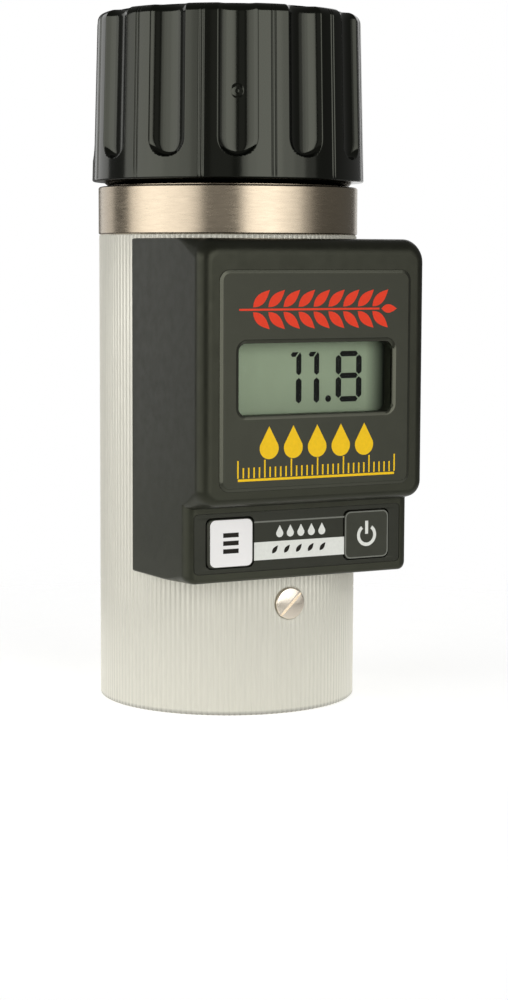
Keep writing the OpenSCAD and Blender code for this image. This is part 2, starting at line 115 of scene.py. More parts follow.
class Paint:
    """A Principled material whose colour, roughness and relief come from procedural nodes."""

    def __init__(self, name, color, rough, metallic=0.0, **sockets):
        self.mat = bpy.data.materials.new(name)
        self.mat.use_nodes = True
        self.tree = self.mat.node_tree
        self.shader = self.tree.nodes["Principled BSDF"]
        self.coords = self.tree.nodes.new("ShaderNodeTexCoord").outputs["Object"]
        self.shader.inputs["Base Color"].default_value = (*color, 1)
        self.shader.inputs["Roughness"].default_value = rough
        self.shader.inputs["Metallic"].default_value = metallic
        for key, value in sockets.items():
            self.shader.inputs[key.replace("_", " ")].default_value = value
        self.color, self.rough = color, rough
        self.normal = None

    def node(self, kind, links=None, **settings):
        made = self.tree.nodes.new("ShaderNode" + kind)
        for key, value in settings.items():
            setattr(made, key, value)
        for key, value in (links or {}).items():
            if isinstance(value, bpy.types.NodeSocket):
                self.tree.links.new(value, made.inputs[key])
            else:
                made.inputs[key].default_value = value
        return made

    def stretch(self, scale):
        """Object coordinates scaled by a vector."""
        return self.node("Mapping", {"Vector": self.coords, "Scale": scale}).outputs["Vector"]

    def noise(self, size, detail=3.0, scale=(1, 1, 1)):
        """Noise whose blotches are about size millimetres across."""
        return self.node("TexNoise", {"Vector": self.stretch(scale), "Scale": 1 / (size * MM),
                                      "Detail": detail, "Roughness": 0.55}).outputs["Fac"]

    def ramp(self, fac, low, high, start=0.3, end=0.7):
        """Number from low to high as fac goes from start to end."""
        return self.node("MapRange", {"Value": fac, "From Min": start, "From Max": end,
                                      "To Min": low, "To Max": high}).outputs["Result"]

    def tone(self, size, amount, detail=3.0, scale=(1, 1, 1)):
        """Varies the colour's lightness by plus or minus amount."""
        fac = self.ramp(self.noise(size, detail, scale), 0.0, 1.0)
        dark, light = ([min(1, c * (1 + s * amount)) for c in self.color] + [1] for s in (-1, 1))
        mix = self.node("Mix", {"Factor": fac}, data_type="RGBA")
        mix.inputs["A"].default_value, mix.inputs["B"].default_value = dark, light
        self.tree.links.new(mix.outputs["Result"], self.shader.inputs["Base Color"])
        return self

    def gloss(self, size, amount, scale=(1, 1, 1)):
        """Varies the roughness by plus or minus amount."""
        value = self.ramp(self.noise(size, 4.0, scale), self.rough - amount, self.rough + amount)
        self.tree.links.new(value, self.shader.inputs["Roughness"])
        return self

    def relief(self, size, height, strength=1.0, detail=2.0, scale=(1, 1, 1)):
        """Adds a noise bump: blotches of size, height in millimetres."""
        links = {"Height": self.noise(size, detail, scale), "Distance": height * MM,
                 "Strength": strength}
        if self.normal is not None:
            links["Normal"] = self.normal
        self.normal = self.node("Bump", links).outputs["Normal"]
        self.tree.links.new(self.normal, self.shader.inputs["Normal"])
        return self

    def shaded(self, axis, low, start, end):
        """Painted shade: multiplies the colour by low at start, rising to 1 at end along an axis,
        in metres.
        """
        along = self.node("SeparateXYZ", {"Vector": self.coords}).outputs[axis]
        plain = self.shader.inputs["Base Color"].links[0].from_socket
        links = {0: plain, 1: self.ramp(along, low, 1.0, start, end)}
        shade = self.node("VectorMath", links, operation="MULTIPLY").outputs["Vector"]
        self.tree.links.new(shade, self.shader.inputs["Base Color"])
        return self

    def facing(self, axis, start, end, level, rough):
        """Changes the gloss to level and rough as the normal's part along an axis goes from
        start to end."""
        normal = self.node("NewGeometry").outputs["True Normal"]
        along = self.node("SeparateXYZ", {"Vector": normal}).outputs[axis]
        plain = self.shader.inputs["Specular IOR Level"].default_value
        for socket, here, there in (("Specular IOR Level", plain, level),
                                    ("Roughness", self.rough, rough)):
            value = self.ramp(along, here, there, start, end)
            self.tree.links.new(value, self.shader.inputs[socket])
        return self

    def turned(self, pitch, height):
        """Adds fine lathe lines: rings of that pitch and height along the axis."""
        wave = self.node("TexWave", {"Vector": self.coords, "Scale": 0.31 / (pitch * MM),
                                     "Distortion": 0.6, "Detail": 2.0, "Detail Scale": 2.0},
                         wave_type="BANDS", bands_direction="Z").outputs["Fac"]
        links = {"Height": wave, "Distance": height * MM, "Strength": 1.0}
        if self.normal is not None:
            links["Normal"] = self.normal
        self.normal = self.node("Bump", links).outputs["Normal"]
        self.tree.links.new(self.normal, self.shader.inputs["Normal"])
        return self


def plastic(name, color, rough, tone=0.06, grain=0.35, depth=0.01, **sockets):
    """Moulded plastic: faint mottling and a fine spark-eroded texture."""
    return (Paint(name, color, rough, **sockets).tone(6, tone).gloss(3, min(0.06, rough / 3))
            .relief(grain, depth)).mat


def metal(name, color, rough, tone=0.05, grain=0.4, depth=0.004, scale=(1, 1, 1)):
    return (Paint(name, color, rough, 1.0).tone(5, tone, scale=scale).gloss(2.5, rough / 4, scale)
            .relief(grain, depth, scale=scale)).mat


def ink(name, color, rough=0.45):
    """Screen printed ink: slightly uneven, with a pebbled surface."""
    return (Paint(name, color, rough, Specular_IOR_Level=0.15).tone(0.8, 0.04, 4).gloss(1.0, 0.05)
            .relief(0.25, 0.004)).mat


MATERIALS = {
    "tube": (Paint("tube_anodised", (0.62, 0.606, 0.527), 0.36, 0.42, Sheen_Weight=1.0,
                   Sheen_Tint=(1.0, 0.98, 0.88, 1), Sheen_Roughness=0.7, Diffuse_Roughness=1.0)
             .tone(3, 0.04, 4, (6, 6, 0.35)).gloss(2, 0.05, (6, 6, 0.3))
             .relief(0.5, 0.008, scale=(5, 5, 0.3)).relief(0.18, 0.004)
             # painted shade darkens the colour towards the bottom, and a painted contact shadow
             # makes a thin dark line along the bottom edge
             .shaded("Z", 0.84, 0.0, 0.04).shaded("Z", 0.3, 0.0003, 0.0012)).mat,
    "collar": (Paint("collar_nickel", (0.38, 0.318, 0.238), 0.25, 1.0)
               .tone(4, 0.04, 3, (1, 1, 6)).gloss(3, 0.04, (1, 1, 8)).turned(0.22, 0.0008)
               .relief(0.6, 0.002)).mat,
    "cap": (Paint("cap_black", (0.0006, 0.0009, 0.0005), 0.13, Specular_IOR_Level=0.42,
                  Specular_Tint=(1.0, 1.03, 0.86, 1))
            .tone(6, 0.3).facing("Z", 0.9, 0.98, 0.15, 0.42).relief(0.5, 0.002)).mat,
    "housing": (Paint("housing_grey", (0.0225, 0.0238, 0.0170), 0.36,
                      Specular_IOR_Level=0.31, Specular_Tint=(1.0, 1.02, 0.76, 1))
                .tone(6, 0.1).gloss(3, 0.06).relief(0.4, 0.006)
                # painted shade: the colour gets darker towards the top of the housing
                .shaded("Z", 0.42, 0.085, 0.036)).mat,
    "label": (Paint("label_film", (0.0230, 0.0242, 0.0182), 0.32, Specular_IOR_Level=0.33,
                    Specular_Tint=(1.0, 1.02, 0.78, 1))
              .tone(6, 0.1).facing("Y", -0.99, -0.965, 0.6, 0.2).relief(0.22, 0.004)
              # painted shade: the colour gets darker towards the top of the label
              .shaded("Z", 0.5, 0.115, 0.062)).mat,
    "keypad": plastic("keypad_film", (0.0135, 0.0142, 0.0105), 0.34, 0.1, 0.22, 0.004,
                      Specular_IOR_Level=0.31, Specular_Tint=(1.0, 1.02, 0.84, 1)),
    "key_dark": plastic("key_dark", (0.0235, 0.0245, 0.0185), 0.34, 0.1, 0.3, 0.004,
                        Specular_IOR_Level=0.34, Specular_Tint=(1.0, 1.02, 0.84, 1)),
    "key_white": plastic("key_white", (0.81, 0.795, 0.78), 0.4, 0.02, 0.3, 0.005),
    "inner": plastic("inner_plastic", (0.03, 0.03, 0.028), 0.5),
    "base": plastic("base_plastic", (0.028, 0.028, 0.026), 0.48, 0.1, 0.45, 0.015),
    "insulator": plastic("insulator_cream", (0.72, 0.69, 0.60), 0.38, 0.03, 0.5, 0.005),
    "battery": plastic("battery_jacket", (0.09, 0.10, 0.115), 0.3, 0.05, 1.2, 0.004),
    "snap": plastic("snap_black", (0.02, 0.02, 0.02), 0.55),
    "rubber": plastic("rubber_black", (0.016, 0.016, 0.016), 0.7, 0.15, 0.25, 0.015),
    "contact": plastic("contact_rubber", (0.09, 0.09, 0.11), 0.75, 0.3, 0.15, 0.01),
    "wire_blue": plastic("wire_blue", (0.02, 0.07, 0.42), 0.35, 0.05, 0.4, 0.003),
    "wire_red": plastic("wire_red", (0.45, 0.015, 0.012), 0.35, 0.05, 0.4, 0.003),
    "chip": plastic("chip_epoxy", (0.02, 0.02, 0.022), 0.55, 0.1, 0.15, 0.01),
    "board": plastic("board_green", (0.012, 0.10, 0.04), 0.32, 0.25, 1.4, 0.02),
    "cell": metal("cell_aluminium", (0.72, 0.72, 0.71), 0.3, 0.04, 0.5, 0.005, (1, 1, 5)),
    "steel": metal("fastener_steel", (0.70, 0.63, 0.53), 0.22),
    "spring": metal("spring_steel", (0.50, 0.50, 0.50), 0.3, 0.1, 0.5, 0.006),
    "brass": metal("electrode_brass", (0.75, 0.56, 0.26), 0.26, 0.06),
    "bush": metal("bush_brass", (0.70, 0.50, 0.22), 0.3, 0.08),
    "white_ink": ink("ink_white", (0.72, 0.73, 0.68)),
    "grey_ink": ink("ink_grey", (0.17, 0.175, 0.15)),
    "dark_ink": ink("ink_dark", (0.010, 0.008, 0.005)),
    "red_ink": ink("ink_red", (0.78, 0.044, 0.012), 0.4),
    "yellow_ink": ink("ink_yellow", (0.88, 0.55, 0.008), 0.4),
    "segment": ink("lcd_segment", (0.001, 0.0012, 0.001), 0.7),
}


def window_material():
    """Coated glass: nearly clear, with little reflection."""
    paint = Paint("window_clear", (0.05, 0.06, 0.05), 0.06, Specular_IOR_Level=0.12, Alpha=0.05)
    return paint.tone(8, 0.02).gloss(6, 0.01).relief(9, 0.01).mat


def lcd_material():
    """Grey-green reflector with painted shade: it gets darker towards the right-hand end, as if
    shaded by the window's right wall.
    """
    paint = Paint("lcd_grey_green", (0.345, 0.43, 0.285), 0.5, Specular_IOR_Level=0.2)
    paint.tone(6, 0.03).gloss(3, 0.06).relief(0.2, 0.001)
    # painted shade: a slight darkening across the panel, and a painted shadow of the window's right
    # wall at its right-hand end
    return paint.shaded("X", 0.9, 0.012, -0.020).shaded("X", 0.1, 0.0225, 0.0172).mat


MATERIALS["window"] = window_material()
MATERIALS["lcd"] = lcd_material()


# ---------- mesh helpers ----------

def place(phi, r, z):
    """The point at angle phi, distance r from the axis and height z."""
    a = radians(phi)
    return Vector((r * sin(a), -r * cos(a), z))


def skin(rings, closed=False, caps=False):
    """bmesh through rings that have equally many points; closed joins the last to the first."""
    bm = bmesh.new()
    rows = [[bm.verts.new(Vector(p) * MM) for p in ring] for ring in rings]
    pairs = list(zip(rows, rows[1:])) + ([(rows[-1], rows[0])] if closed else [])
    count = len(rows[0])
    for a, b in pairs:
        for k in range(count):
            j = (k + 1) % count
            bm.faces.new((a[k], a[j], b[j], b[k]))
    if caps:
        bm.faces.new(rows[0])
        bm.faces.new(rows[-1])
    bmesh.ops.remove_doubles(bm, verts=bm.verts, dist=1e-7)
    bmesh.ops.recalc_face_normals(bm, faces=bm.faces)
    return bm


def revolve(profile, steps=192, closed=False):
    """A profile of (r, z) points turned round the axis. An open profile ends on the axis."""
    return skin([[place(360 * k / steps, r, z) for k in range(steps)] for r, z in profile], closed)


def rounded(points, radii, steps=5):
    """The polygon with an arc of radius radii[i] in place of its corner i."""
    out = []
    count = len(points)
    for i, point in enumerate(points):
        radius = radii.get(i, 0) if isinstance(radii, dict) else radii
        if not radius:
            out.append(tuple(point))
            continue
        here = Vector(point)
        back = (Vector(points[i - 1]) - here).normalized()
        ahead = (Vector(points[(i + 1) % count]) - here).normalized()
        half = back.angle(ahead) / 2
        centre = here + (back + ahead).normalized() * (radius / sin(half))
        start, end = (here + v * (radius / tan(half)) - centre for v in (back, ahead))
        turn = start.angle(end)
        for k in range(steps + 1):
            t = k / steps
            arm = (start * sin((1 - t) * turn) + end * sin(t * turn)) / sin(turn)
            out.append(tuple(centre + arm))
    return out


def bar(x0, z0, x1, z1):
    """Outline of a rectangle between two corners."""
    return [(x0, z0), (x1, z0), (x1, z1), (x0, z1)]


def rect(x, z, w, h, r=0.0, steps=6):
    """Outline of a rectangle centred on x, z, with rounded corners."""
    points = bar(x - w / 2, z - h / 2, x + w / 2, z + h / 2)
    return rounded(points, r, steps) if r else points


def prism(outline, front, back):
    """An outline of (x, z) points carried from one distance in front of the axis to another."""
    return skin([[(x, -f, z) for x, z in outline] for f in (front, back)], caps=True)


def circle(x, z, r, steps=24):
    return [(x + r * cos(2 * pi * k / steps), z + r * sin(2 * pi * k / steps))
            for k in range(steps)]


def peg(x, z, r, front, back, steps=64):
    """A cylinder along Y."""
    return prism(circle(x, z, r, steps), front, back)


def turn(bm, angle, axis):
    """Turns a bmesh about an axis through the origin, in degrees, and returns it."""
    bmesh.ops.rotate(bm, cent=(0, 0, 0), matrix=Matrix.Rotation(radians(angle), 3, axis),
                     verts=bm.verts)
    return bm


def raw(name, bm):
    """An object made of a bmesh."""
    mesh = bpy.data.meshes.new(name)
    bm.to_mesh(mesh)
    bm.free()
    obj = bpy.data.objects.new(name, mesh)
    bpy.context.scene.collection.objects.link(obj)
    return obj


def apply_modifiers(obj):
    bpy.context.view_layer.update()
    made = bpy.data.meshes.new_from_object(obj.evaluated_get(bpy.context.evaluated_depsgraph_get()))
    obj.modifiers.clear()
    old, obj.data = obj.data, made
    bpy.data.meshes.remove(old)


def combine(obj, *shapes, cut=True):
    """Cuts shapes out of obj, or joins them to it, one after another."""
    for shape in shapes:
        tool = raw("tool", shape)
        mod = obj.modifiers.new("combine", "BOOLEAN")
        mod.operation = "DIFFERENCE" if cut else "UNION"
        mod.solver = "EXACT"
        mod.object = tool
        apply_modifiers(obj)
        bpy.data.objects.remove(tool)
    return obj


def finish_piece(obj, name, body, material, nodes=(), sharp=32, flat=False):
    """Names a piece, shades it, says what it rides on and hides the CAD nodes it stands for."""
    obj.name = obj.data.name = name
    obj.data.materials.clear()
    obj.data.materials.append(MATERIALS[material])
    obj.data.shade_smooth()
    obj.data.set_sharp_from_angle(angle=radians(sharp))
    if flat:
        normals = obj.modifiers.new("normals", "WEIGHTED_NORMAL")
        normals.keep_sharp = True
    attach(obj, body)
    if nodes:
        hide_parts(*nodes)
    return obj


def plate(loops, front, depth, bevel=0.0, resolution=2):
    """Object of flat shapes with holes, drawn in front elevation, whose face is at that front."""
    curve = bpy.data.curves.new("plate", "CURVE")
    curve.dimensions, curve.fill_mode = "2D", "BOTH"
    for loop in loops:
        spline = curve.splines.new("POLY")
        spline.points.add(len(loop) - 1)
        for point, (x, z) in zip(spline.points, loop):
            point.co = (x * MM, z * MM, 0, 1)
        spline.use_cyclic_u = True
    curve.extrude = (depth / 2 - bevel) * MM
    curve.bevel_depth = bevel * MM
    curve.offset = -bevel * MM
    curve.bevel_resolution = resolution
    maker = bpy.data.objects.new("plate", curve)
    bpy.context.scene.collection.objects.link(maker)
    bpy.context.view_layer.update()
    seen = maker.evaluated_get(bpy.context.evaluated_depsgraph_get())
    mesh = bpy.data.meshes.new_from_object(seen)
    bpy.data.objects.remove(maker)
    mesh.transform(Matrix.Translation((0, -(front - depth / 2) * MM, 0))
                   @ Matrix.Rotation(pi / 2, 4, "X"))
    bm = bmesh.new()
    bm.from_mesh(mesh)
    bmesh.ops.remove_doubles(bm, verts=bm.verts, dist=1e-7)
    bmesh.ops.recalc_face_normals(bm, faces=bm.faces)
    bpy.data.meshes.remove(mesh)
    return raw("plate", bm)


# ---------- tube, collar and base ----------

def tube():
    """The tube's outside is 153 fine rounded ribs."""
    ribs, per_rib, depth = 153, 8, 0.2
    steps = ribs * per_rib

    def ring(r, z, groove):
        return [place(360 * k / steps, r - groove * (0.5 - 0.5 * cos(2 * pi * k / per_rib)) ** 2, z)
                for k in range(steps)]

    edge = 0.35
    rings = [ring(BORE_R, 0, 0), ring(TUBE_R - edge, 0, 0), ring(TUBE_R, edge, depth)]
    rings += [ring(TUBE_R, z, depth) for z in (30, 60, 90)]
    rings += [ring(TUBE_R, TUBE_TOP - edge, depth), ring(TUBE_R - edge, TUBE_TOP, 0),
              ring(BORE_R, TUBE_TOP, 0)]
    obj = raw("tube", skin(rings, closed=True))
    outside = TUBE_R + 2
    # at each base screw: its hole through the wall, and a flat seat for its head
    spots = [turn(peg(0, SCREW_Z, r, outside, back), phi, "Z")
             for phi in (0, 180) for r, back in ((2.2, 25), (4.4, 33.7))]
    combine(obj, prism(rect(0, 83, 28, 46), outside, 24), peg(0, UPPER_SCREW_Z, 1.7, 37, 25),
            peg(0, LOWER_SCREW_Z, 1.7, 37, 25), *spots)
    finish_piece(obj, "tube_ribbed", "body", "tube", ["tube_body"], 50)


def collar():
    profile = rounded([
        (COLLAR_BORE, COLLAR_BOTTOM), (BORE_R - 0.1, COLLAR_BOTTOM), (BORE_R - 0.1, TUBE_TOP),
        (BAND_R, TUBE_TOP), (BAND_R, BAND_TOP), (NECK_R, BAND_TOP),
        (NECK_R, COLLAR_TOP - 0.5), (NECK_R - 0.5, COLLAR_TOP), (COLLAR_BORE, COLLAR_TOP)],
        {0: 0.3, 1: 0.3, 3: 0.45, 4: 0.6, 6: 0.2, 7: 0.2, 8: 0.2}, 6)
    obj = raw("collar", revolve(profile, 256, closed=True))
    combine(obj, peg(0, UPPER_SCREW_Z, 1.7, 33, 25), peg(0, UPPER_SCREW_Z, 3.1, 29.9, 25))
    finish_piece(obj, "collar_turned", "body", "collar", ["collar_ring"], 25, True)


def thread(name, r, crest, low, high, start, body, material):
    """Two helical ridges on a wall of radius r; a crest above r stands out, below r stands in."""
    per_turn, half_foot, half_crest = 96, 0.6, 0.3
    root = r - 0.1 if crest > r else r + 0.1
    total = bmesh.new()
    for begin in (0, 180):
        count = int((high - low) / THREAD_LEAD * per_turn)
        rings = []
        for k in range(count + 1):
            fade = min(1.0, k / 8, (count - k) / 8)
            top = r + (crest - r) * fade
            z = low + THREAD_LEAD * k / per_turn
            phi = begin + start + 360 * k / per_turn
            rings.append([place(phi, a, z + b) for a, b in (
                (root, -half_foot), (r, -half_foot), (top, -half_crest), (top, half_crest),
                (r, half_foot), (root, half_foot))])
        ridge = skin(rings, caps=True)
        mesh = bpy.data.meshes.new("ridge")
        ridge.to_mesh(mesh)
        ridge.free()
        total.from_mesh(mesh)
        bpy.data.meshes.remove(mesh)
    finish_piece(raw(name, total), name, body, material, sharp=35)


def screw_head(r, back, front, slot, angle, dome):
    """A slotted head along Y, as an object; the slot is a (width, depth) and dome its rise."""
    edge = 0.35
    low = front - dome
    profile = [(0, back), (r - 0.15, back), (r, back + 0.15), (r, low - edge)]
    profile += [(r - edge + edge * cos(radians(a)), low - edge + edge * sin(radians(a)))
                for a in (22, 45, 67)]
    profile += [((r - edge) * k / 8, front - dome * (k / 8) ** 2) for k in range(8, -1, -1)]
    obj = raw("screw", turn(revolve(profile, 96), 90, "X"))
    width, depth = slot
    return combine(obj, turn(prism(rect(0, 0, 3 * r, width), front + 1, front - depth), angle, "Y"))


def base_screws():
    back, front = SCREW_HEAD
    whole = bmesh.new()
    for phi, angle in ((0, -44), (180, 27)):
        head = screw_head(SCREW_HEAD_R, back, front, (1.1, 0.8), angle, 0.25)
        shank = raw("shank", peg(0, 0, SCREW_SHANK_R, back + 0.2, 28, 32))
        for part in (head, shank):
            part.data.transform(Matrix.Rotation(radians(phi), 4, "Z")
                                @ Matrix.Translation((0, 0, SCREW_Z * MM)))
            whole.from_mesh(part.data)
            bpy.data.objects.remove(part)
    finish_piece(raw("screws", whole), "base_screws_slotted", "body", "steel",
                 ["base_screws"], 32, True)


# ---------- display housing ----------

SIDE_DRAFT = (REAR_HALF_WIDTH - FRONT_HALF_WIDTH) / (UPPER_FRONT - HOUSING_BACK)


def half_width(front):
    return FRONT_HALF_WIDTH + (UPPER_FRONT - front) * SIDE_DRAFT


def fillet(depth, r):
    """How far a rounded edge of radius r draws a section in, at a depth behind the front."""
    return r - sqrt(r * r - (r - depth) ** 2) if depth < r else 0.0


def housing_block(front, low, high, radii, corner, inset=0.0, back=5.0):
    """A drafted block with rounded front edges, whose corners get sharper towards the back. low
    gives the lowest z at a distance in front of the axis, radii belong to the side, bottom and
    top edges, and corner holds the corner radius at the bottom and at the top."""
    radii = [max(0.3, r - inset) for r in radii]
    depths = {max(radii) * (1 - cos(pi / 2 * k / 14)) for k in range(15)}
    depths |= {k * 0.75 for k in range(6, 21)}
    depths |= {front - inset - f for f in (LOWER_FRONT, 30, 20, back)}
    sections = []
    for depth in sorted({round(d, 4) for d in depths if d >= 0}):
        f = front - inset - depth
        side, under, over = (fillet(depth, r) for r in radii)
        w = half_width(f) - inset - side
        bottom, top = low(f) + inset + under, high - inset - over
        points = [(-w, bottom), (w, bottom), (w, top), (-w, top)]
        fade = min(1.0, max(0.0, (depth - 1.0) / 12.5))
        sharp = 1 - fade * fade * (3 - 2 * fade)
        r0, r1 = (max(0.35, 0.4 + (r - 0.4) * sharp - inset - (side + drawn) / 2)
                  for r, drawn in zip(corner, (under, over)))
        sections.append([(x, -f, z) for x, z in rounded(points, {0: r0, 1: r0, 2: r1, 3: r1}, 9)])
    return skin(sections, caps=True)


def step_bottom(front):
    """Height of the upper block's underside, which slopes down towards the keypad."""
    slope = (STEP_Z - STEP_INNER_Z) / (UPPER_FRONT - LOWER_FRONT)
    return STEP_INNER_Z + slope * max(0.0, min(front, UPPER_FRONT) - LOWER_FRONT)


def key_holes():
    """Outlines of the holes that the keys stand in."""
    w, h = (side + 2 * KEY_GAP for side in KEY_SIZE)
    return [rect(x, KEY_Z, w, h, 1.6) for x in KEY_X.values()]


def housing():
    top, bottom = HOUSING_HIGH.z, HOUSING_LOW.z
    upper = dict(low=step_bottom, high=top, radii=(3.2, 1.6, 4.2), corner=(4.4, 5.6))
    lower = dict(low=lambda f: bottom, high=70.0, radii=(3.0, 1.0, 1.0), corner=(2.3, 0.5))
    obj = raw("housing", housing_block(UPPER_FRONT, **upper))
    combine(obj, housing_block(LOWER_FRONT, **lower), cut=False)
    cavity = raw("cavity", housing_block(UPPER_FRONT, inset=WALL, back=4, **upper))
    combine(cavity, housing_block(LOWER_FRONT, inset=WALL, back=4, **lower), cut=False)
    hollow = bmesh.new()
    hollow.from_mesh(cavity.data)
    bpy.data.objects.remove(cavity)
    combine(obj, hollow)
    w, h = WINDOW_SIZE
    combine(obj, prism(rect(0, WINDOW_Z, w + 2.4, h + 2.4, 2), UPPER_FRONT - 1, GLASS_FRONT),
            peg(0, UPPER_SCREW_Z, 3.2, UPPER_FRONT - 1, 30),
            peg(0, LOWER_SCREW_Z, 3, LOWER_FRONT - 1, 30), cut=False)
    combine(obj, revolve([(0, 0), (TUBE_R + 0.05, 0), (TUBE_R + 0.05, 170), (0, 170)], 306),
            prism(rect(0, WINDOW_Z, w, h, 2), 60, 42),
            prism(rect(KEYPAD_X, KEY_Z, KEYPAD_W + 0.2, 15.3, 1.2), 60, LOWER_FRONT - 0.4),
            *(prism(hole, 60, 35.5) for hole in key_holes()),
            peg(0, UPPER_SCREW_Z, 1.35, 43, 30), peg(0, LOWER_SCREW_Z, 1.35, 39, 30))
    finish_piece(obj, "housing_moulded", "body", "housing",
                 ["housing_shell"], 28, True)


# Sections of the label's edge and of the opening's rim: (drop behind the face, distance)
LABEL_EDGE = ((0.40, 0), (0.33, 0.03), (0.25, 0.10), (0.05, 0.72), (0.012, 0.85), (0, 1.0))
WINDOW_RIM = ((0, 1.05), (0.012, 0.95), (0.05, 0.82), (0.27, 0.15), (0.38, 0.05), (0.5, 0))


def label():
    """Raised plate whose face slopes gently down at its edges and round the display opening."""
    width, height = LABEL_HIGH.x - LABEL_LOW.x, LABEL_HIGH.z - LABEL_LOW.z
    middle = (LABEL_HIGH.z + LABEL_LOW.z) / 2
    w, h = WINDOW_SIZE
    back = LABEL_FRONT - 1.1

    def outer(front, inset):
        edge = rect(0, middle, width - 2 * inset, height - 2 * inset, 2.8 - inset, 8)
        return [(x, -front, z) for x, z in edge]

    def inner(front, widen):
        rim = rect(0, WINDOW_Z, w + 2 * widen, h + 2 * widen, 2 + widen, 8)
        return [(x, -front, z) for x, z in rim]

    rings = [outer(back, 0)]
    rings += [outer(LABEL_FRONT - fall, inset) for fall, inset in LABEL_EDGE]
    rings += [inner(LABEL_FRONT - fall, widen) for fall, widen in WINDOW_RIM]
    rings.append(inner(back, 0))
    finish_piece(raw("label", skin(rings, closed=True)), "display_label_plate", "body",
                 "label", ["display_label"], 30, True)


# ---------- printed marks ----------

def drop(x, z, h):
    """A water drop of height h, centred on x, z, its point up."""
    r = h * 0.33
    low = z - h / 2 + r
    side = [(x + r * cos(radians(a)), low + r * sin(radians(a))) for a in range(-90, 26, 12)]
    flip = [(2 * x - px, pz) for px, pz in reversed(side)]
    return side + [(x, z + h / 2)] + flip[:-1]


def grain(x, z, length, width, angle):
    """A pointed kernel from x, z outwards at an angle from the +X direction."""
    a = radians(angle)
    steps = 8
    edge = [(length * k / steps, width / 2 * sin(pi * (k / steps) ** 0.85))
            for k in range(steps + 1)]
    outline = edge + [(u, -v) for u, v in reversed(edge[1:-1])]
    return [(x + u * cos(a) - v * sin(a), z + u * sin(a) + v * cos(a)) for u, v in outline]


def arc_band(x, z, r_out, r_in, start, end, steps=28):
    """A band of a ring between two angles from the +X direction."""
    angles = [radians(start + (end - start) * k / steps) for k in range(steps + 1)]
    return ([(x + r_out * cos(a), z + r_out * sin(a)) for a in angles]
            + [(x + r_in * cos(a), z + r_in * sin(a)) for a in reversed(angles)])


def printed(name, loops, front, body, material, raised=0.04):
    obj = plate(loops, front + raised, raised + 0.06)
    finish_piece(obj, name, body, material)


def label_prints():
    ear = [bar(-22.4, 104.55, 18.0, 105.05)]
    for k in range(9):
        x = -18.5 + 4.3 * k
        ear += [grain(x, 105.4, 6.3, 2.5, 42), grain(x, 104.2, 6.3, 2.5, -42)]
    ear.append(grain(18.6, 104.8, 4.6, 2.2, 0))
    printed("ornament_ear", ear, LABEL_FRONT, "body", "red_ink")
    marks = [drop(-13.8 + 6.9 * k, 71.9, 8.2) for k in range(5)]
    marks.append(bar(-22.6, 62.5, 22.9, 63.1))
    for k in range(31):
        tall = 4.4 if k % 5 == 0 else 2.6
        x = -22.6 + 45.5 * k / 30
        marks.append(bar(x - 0.2, 63.3, x + 0.2, 63.3 + tall))
    printed("ornament_scale", marks, LABEL_FRONT, "body", "yellow_ink")


def keypad():
    film = plate([rect(KEYPAD_X, KEY_Z, KEYPAD_W, 15.1, 1.1), *key_holes()],
                 KEYPAD_FRONT, 0.35, 0.05, 1)
    finish_piece(film, "keypad_film", "body", "keypad", ["keypad_label"], 30, True)
    left, right = -13.6, 13.1
    drops = [drop(-6.2 + 3.1 * k, 48.5, 3.1) for k in range(5)]
    grains = [grain(-8.4 + 3.5 * k, 42.9, 2.6, 1.15, 50) for k in range(5)]
    for name, loops, slot, material, raised in (
            ("strip_line", [bar(left, 50.95, right, 51.35)], "key_white", "grey_ink", 0.04),
            ("strip_band", [bar(left, 41.4, right, 46.0)], "key_white", "white_ink", 0.04),
            ("strip_drops", drops, "key_white", "white_ink", 0.05),
            ("strip_grains", grains, "key_dark", "dark_ink", 0.07)):
        printed(name, loops, KEYPAD_FRONT, "body", material, raised)


def key(node, name, slot, material):
    """A key with a soft front edge, a flange behind the housing and a hollow for its stem."""
    (w, h), x = KEY_SIZE, KEY_X[node]
    steps, edge = 5, 0.4
    angles = [pi / 2 * k / steps for k in range(steps + 1)]
    levels = [(KEY_FRONT - edge * (1 - cos(a)), edge * (1 - sin(a))) for a in angles]
    levels += [(KEY_BACK + 0.5, 0), (KEY_BACK + 0.5, -0.8), (KEY_BACK, -0.8)]
    rings = [[(px, -f, pz) for px, pz in rect(x, KEY_Z, w - 2 * s, h - 2 * s, 1.6 - s * 0.6)]
             for f, s in levels]
    obj = raw(name, skin(rings, caps=True))
    combine(obj, prism(rect(x, KEY_Z, 8, 8), KEY_FRONT - 1.85, 30))
    finish_piece(obj, name, node, material, [node], 30, True)


def keys():
    key("function_key", "function_key_cap", "key_dark", "key_dark")
    key("power_key", "power_key_cap", "key_dark", "key_dark")
    x = KEY_X["function_key"]
    face = plate([rect(x + 0.17, KEY_Z, 12.0, 11.9, 1.5)], KEY_FRONT + 0.12, 0.3, 0.1, 3)
    finish_piece(face, "function_key_face", "function_key", "key_white", (), 30, True)
    rows = [KEY_Z + d for d in (-2.6, -0.57, 1.45)]
    printed("function_mark", [bar(x - 2.2, z, x + 2.2, z + 1.15) for z in rows],
            KEY_FRONT + 0.12, "function_key", "dark_ink")
    x = KEY_X["power_key"]
    printed("power_outline", [rect(x, KEY_Z, 13.0, 12.2, 1.6), rect(x, KEY_Z, 12.35, 11.55, 1.3)],
            KEY_FRONT - 0.05, "power_key", "grey_ink", 0.07)
    printed("power_mark", [arc_band(x, KEY_Z - 0.2, 2.9, 2.0, 125, 415),
                           bar(x - 0.45, KEY_Z + 0.1, x + 0.45, KEY_Z + 3.5)],
            KEY_FRONT, "power_key", "white_ink")


# ---------- display ----------

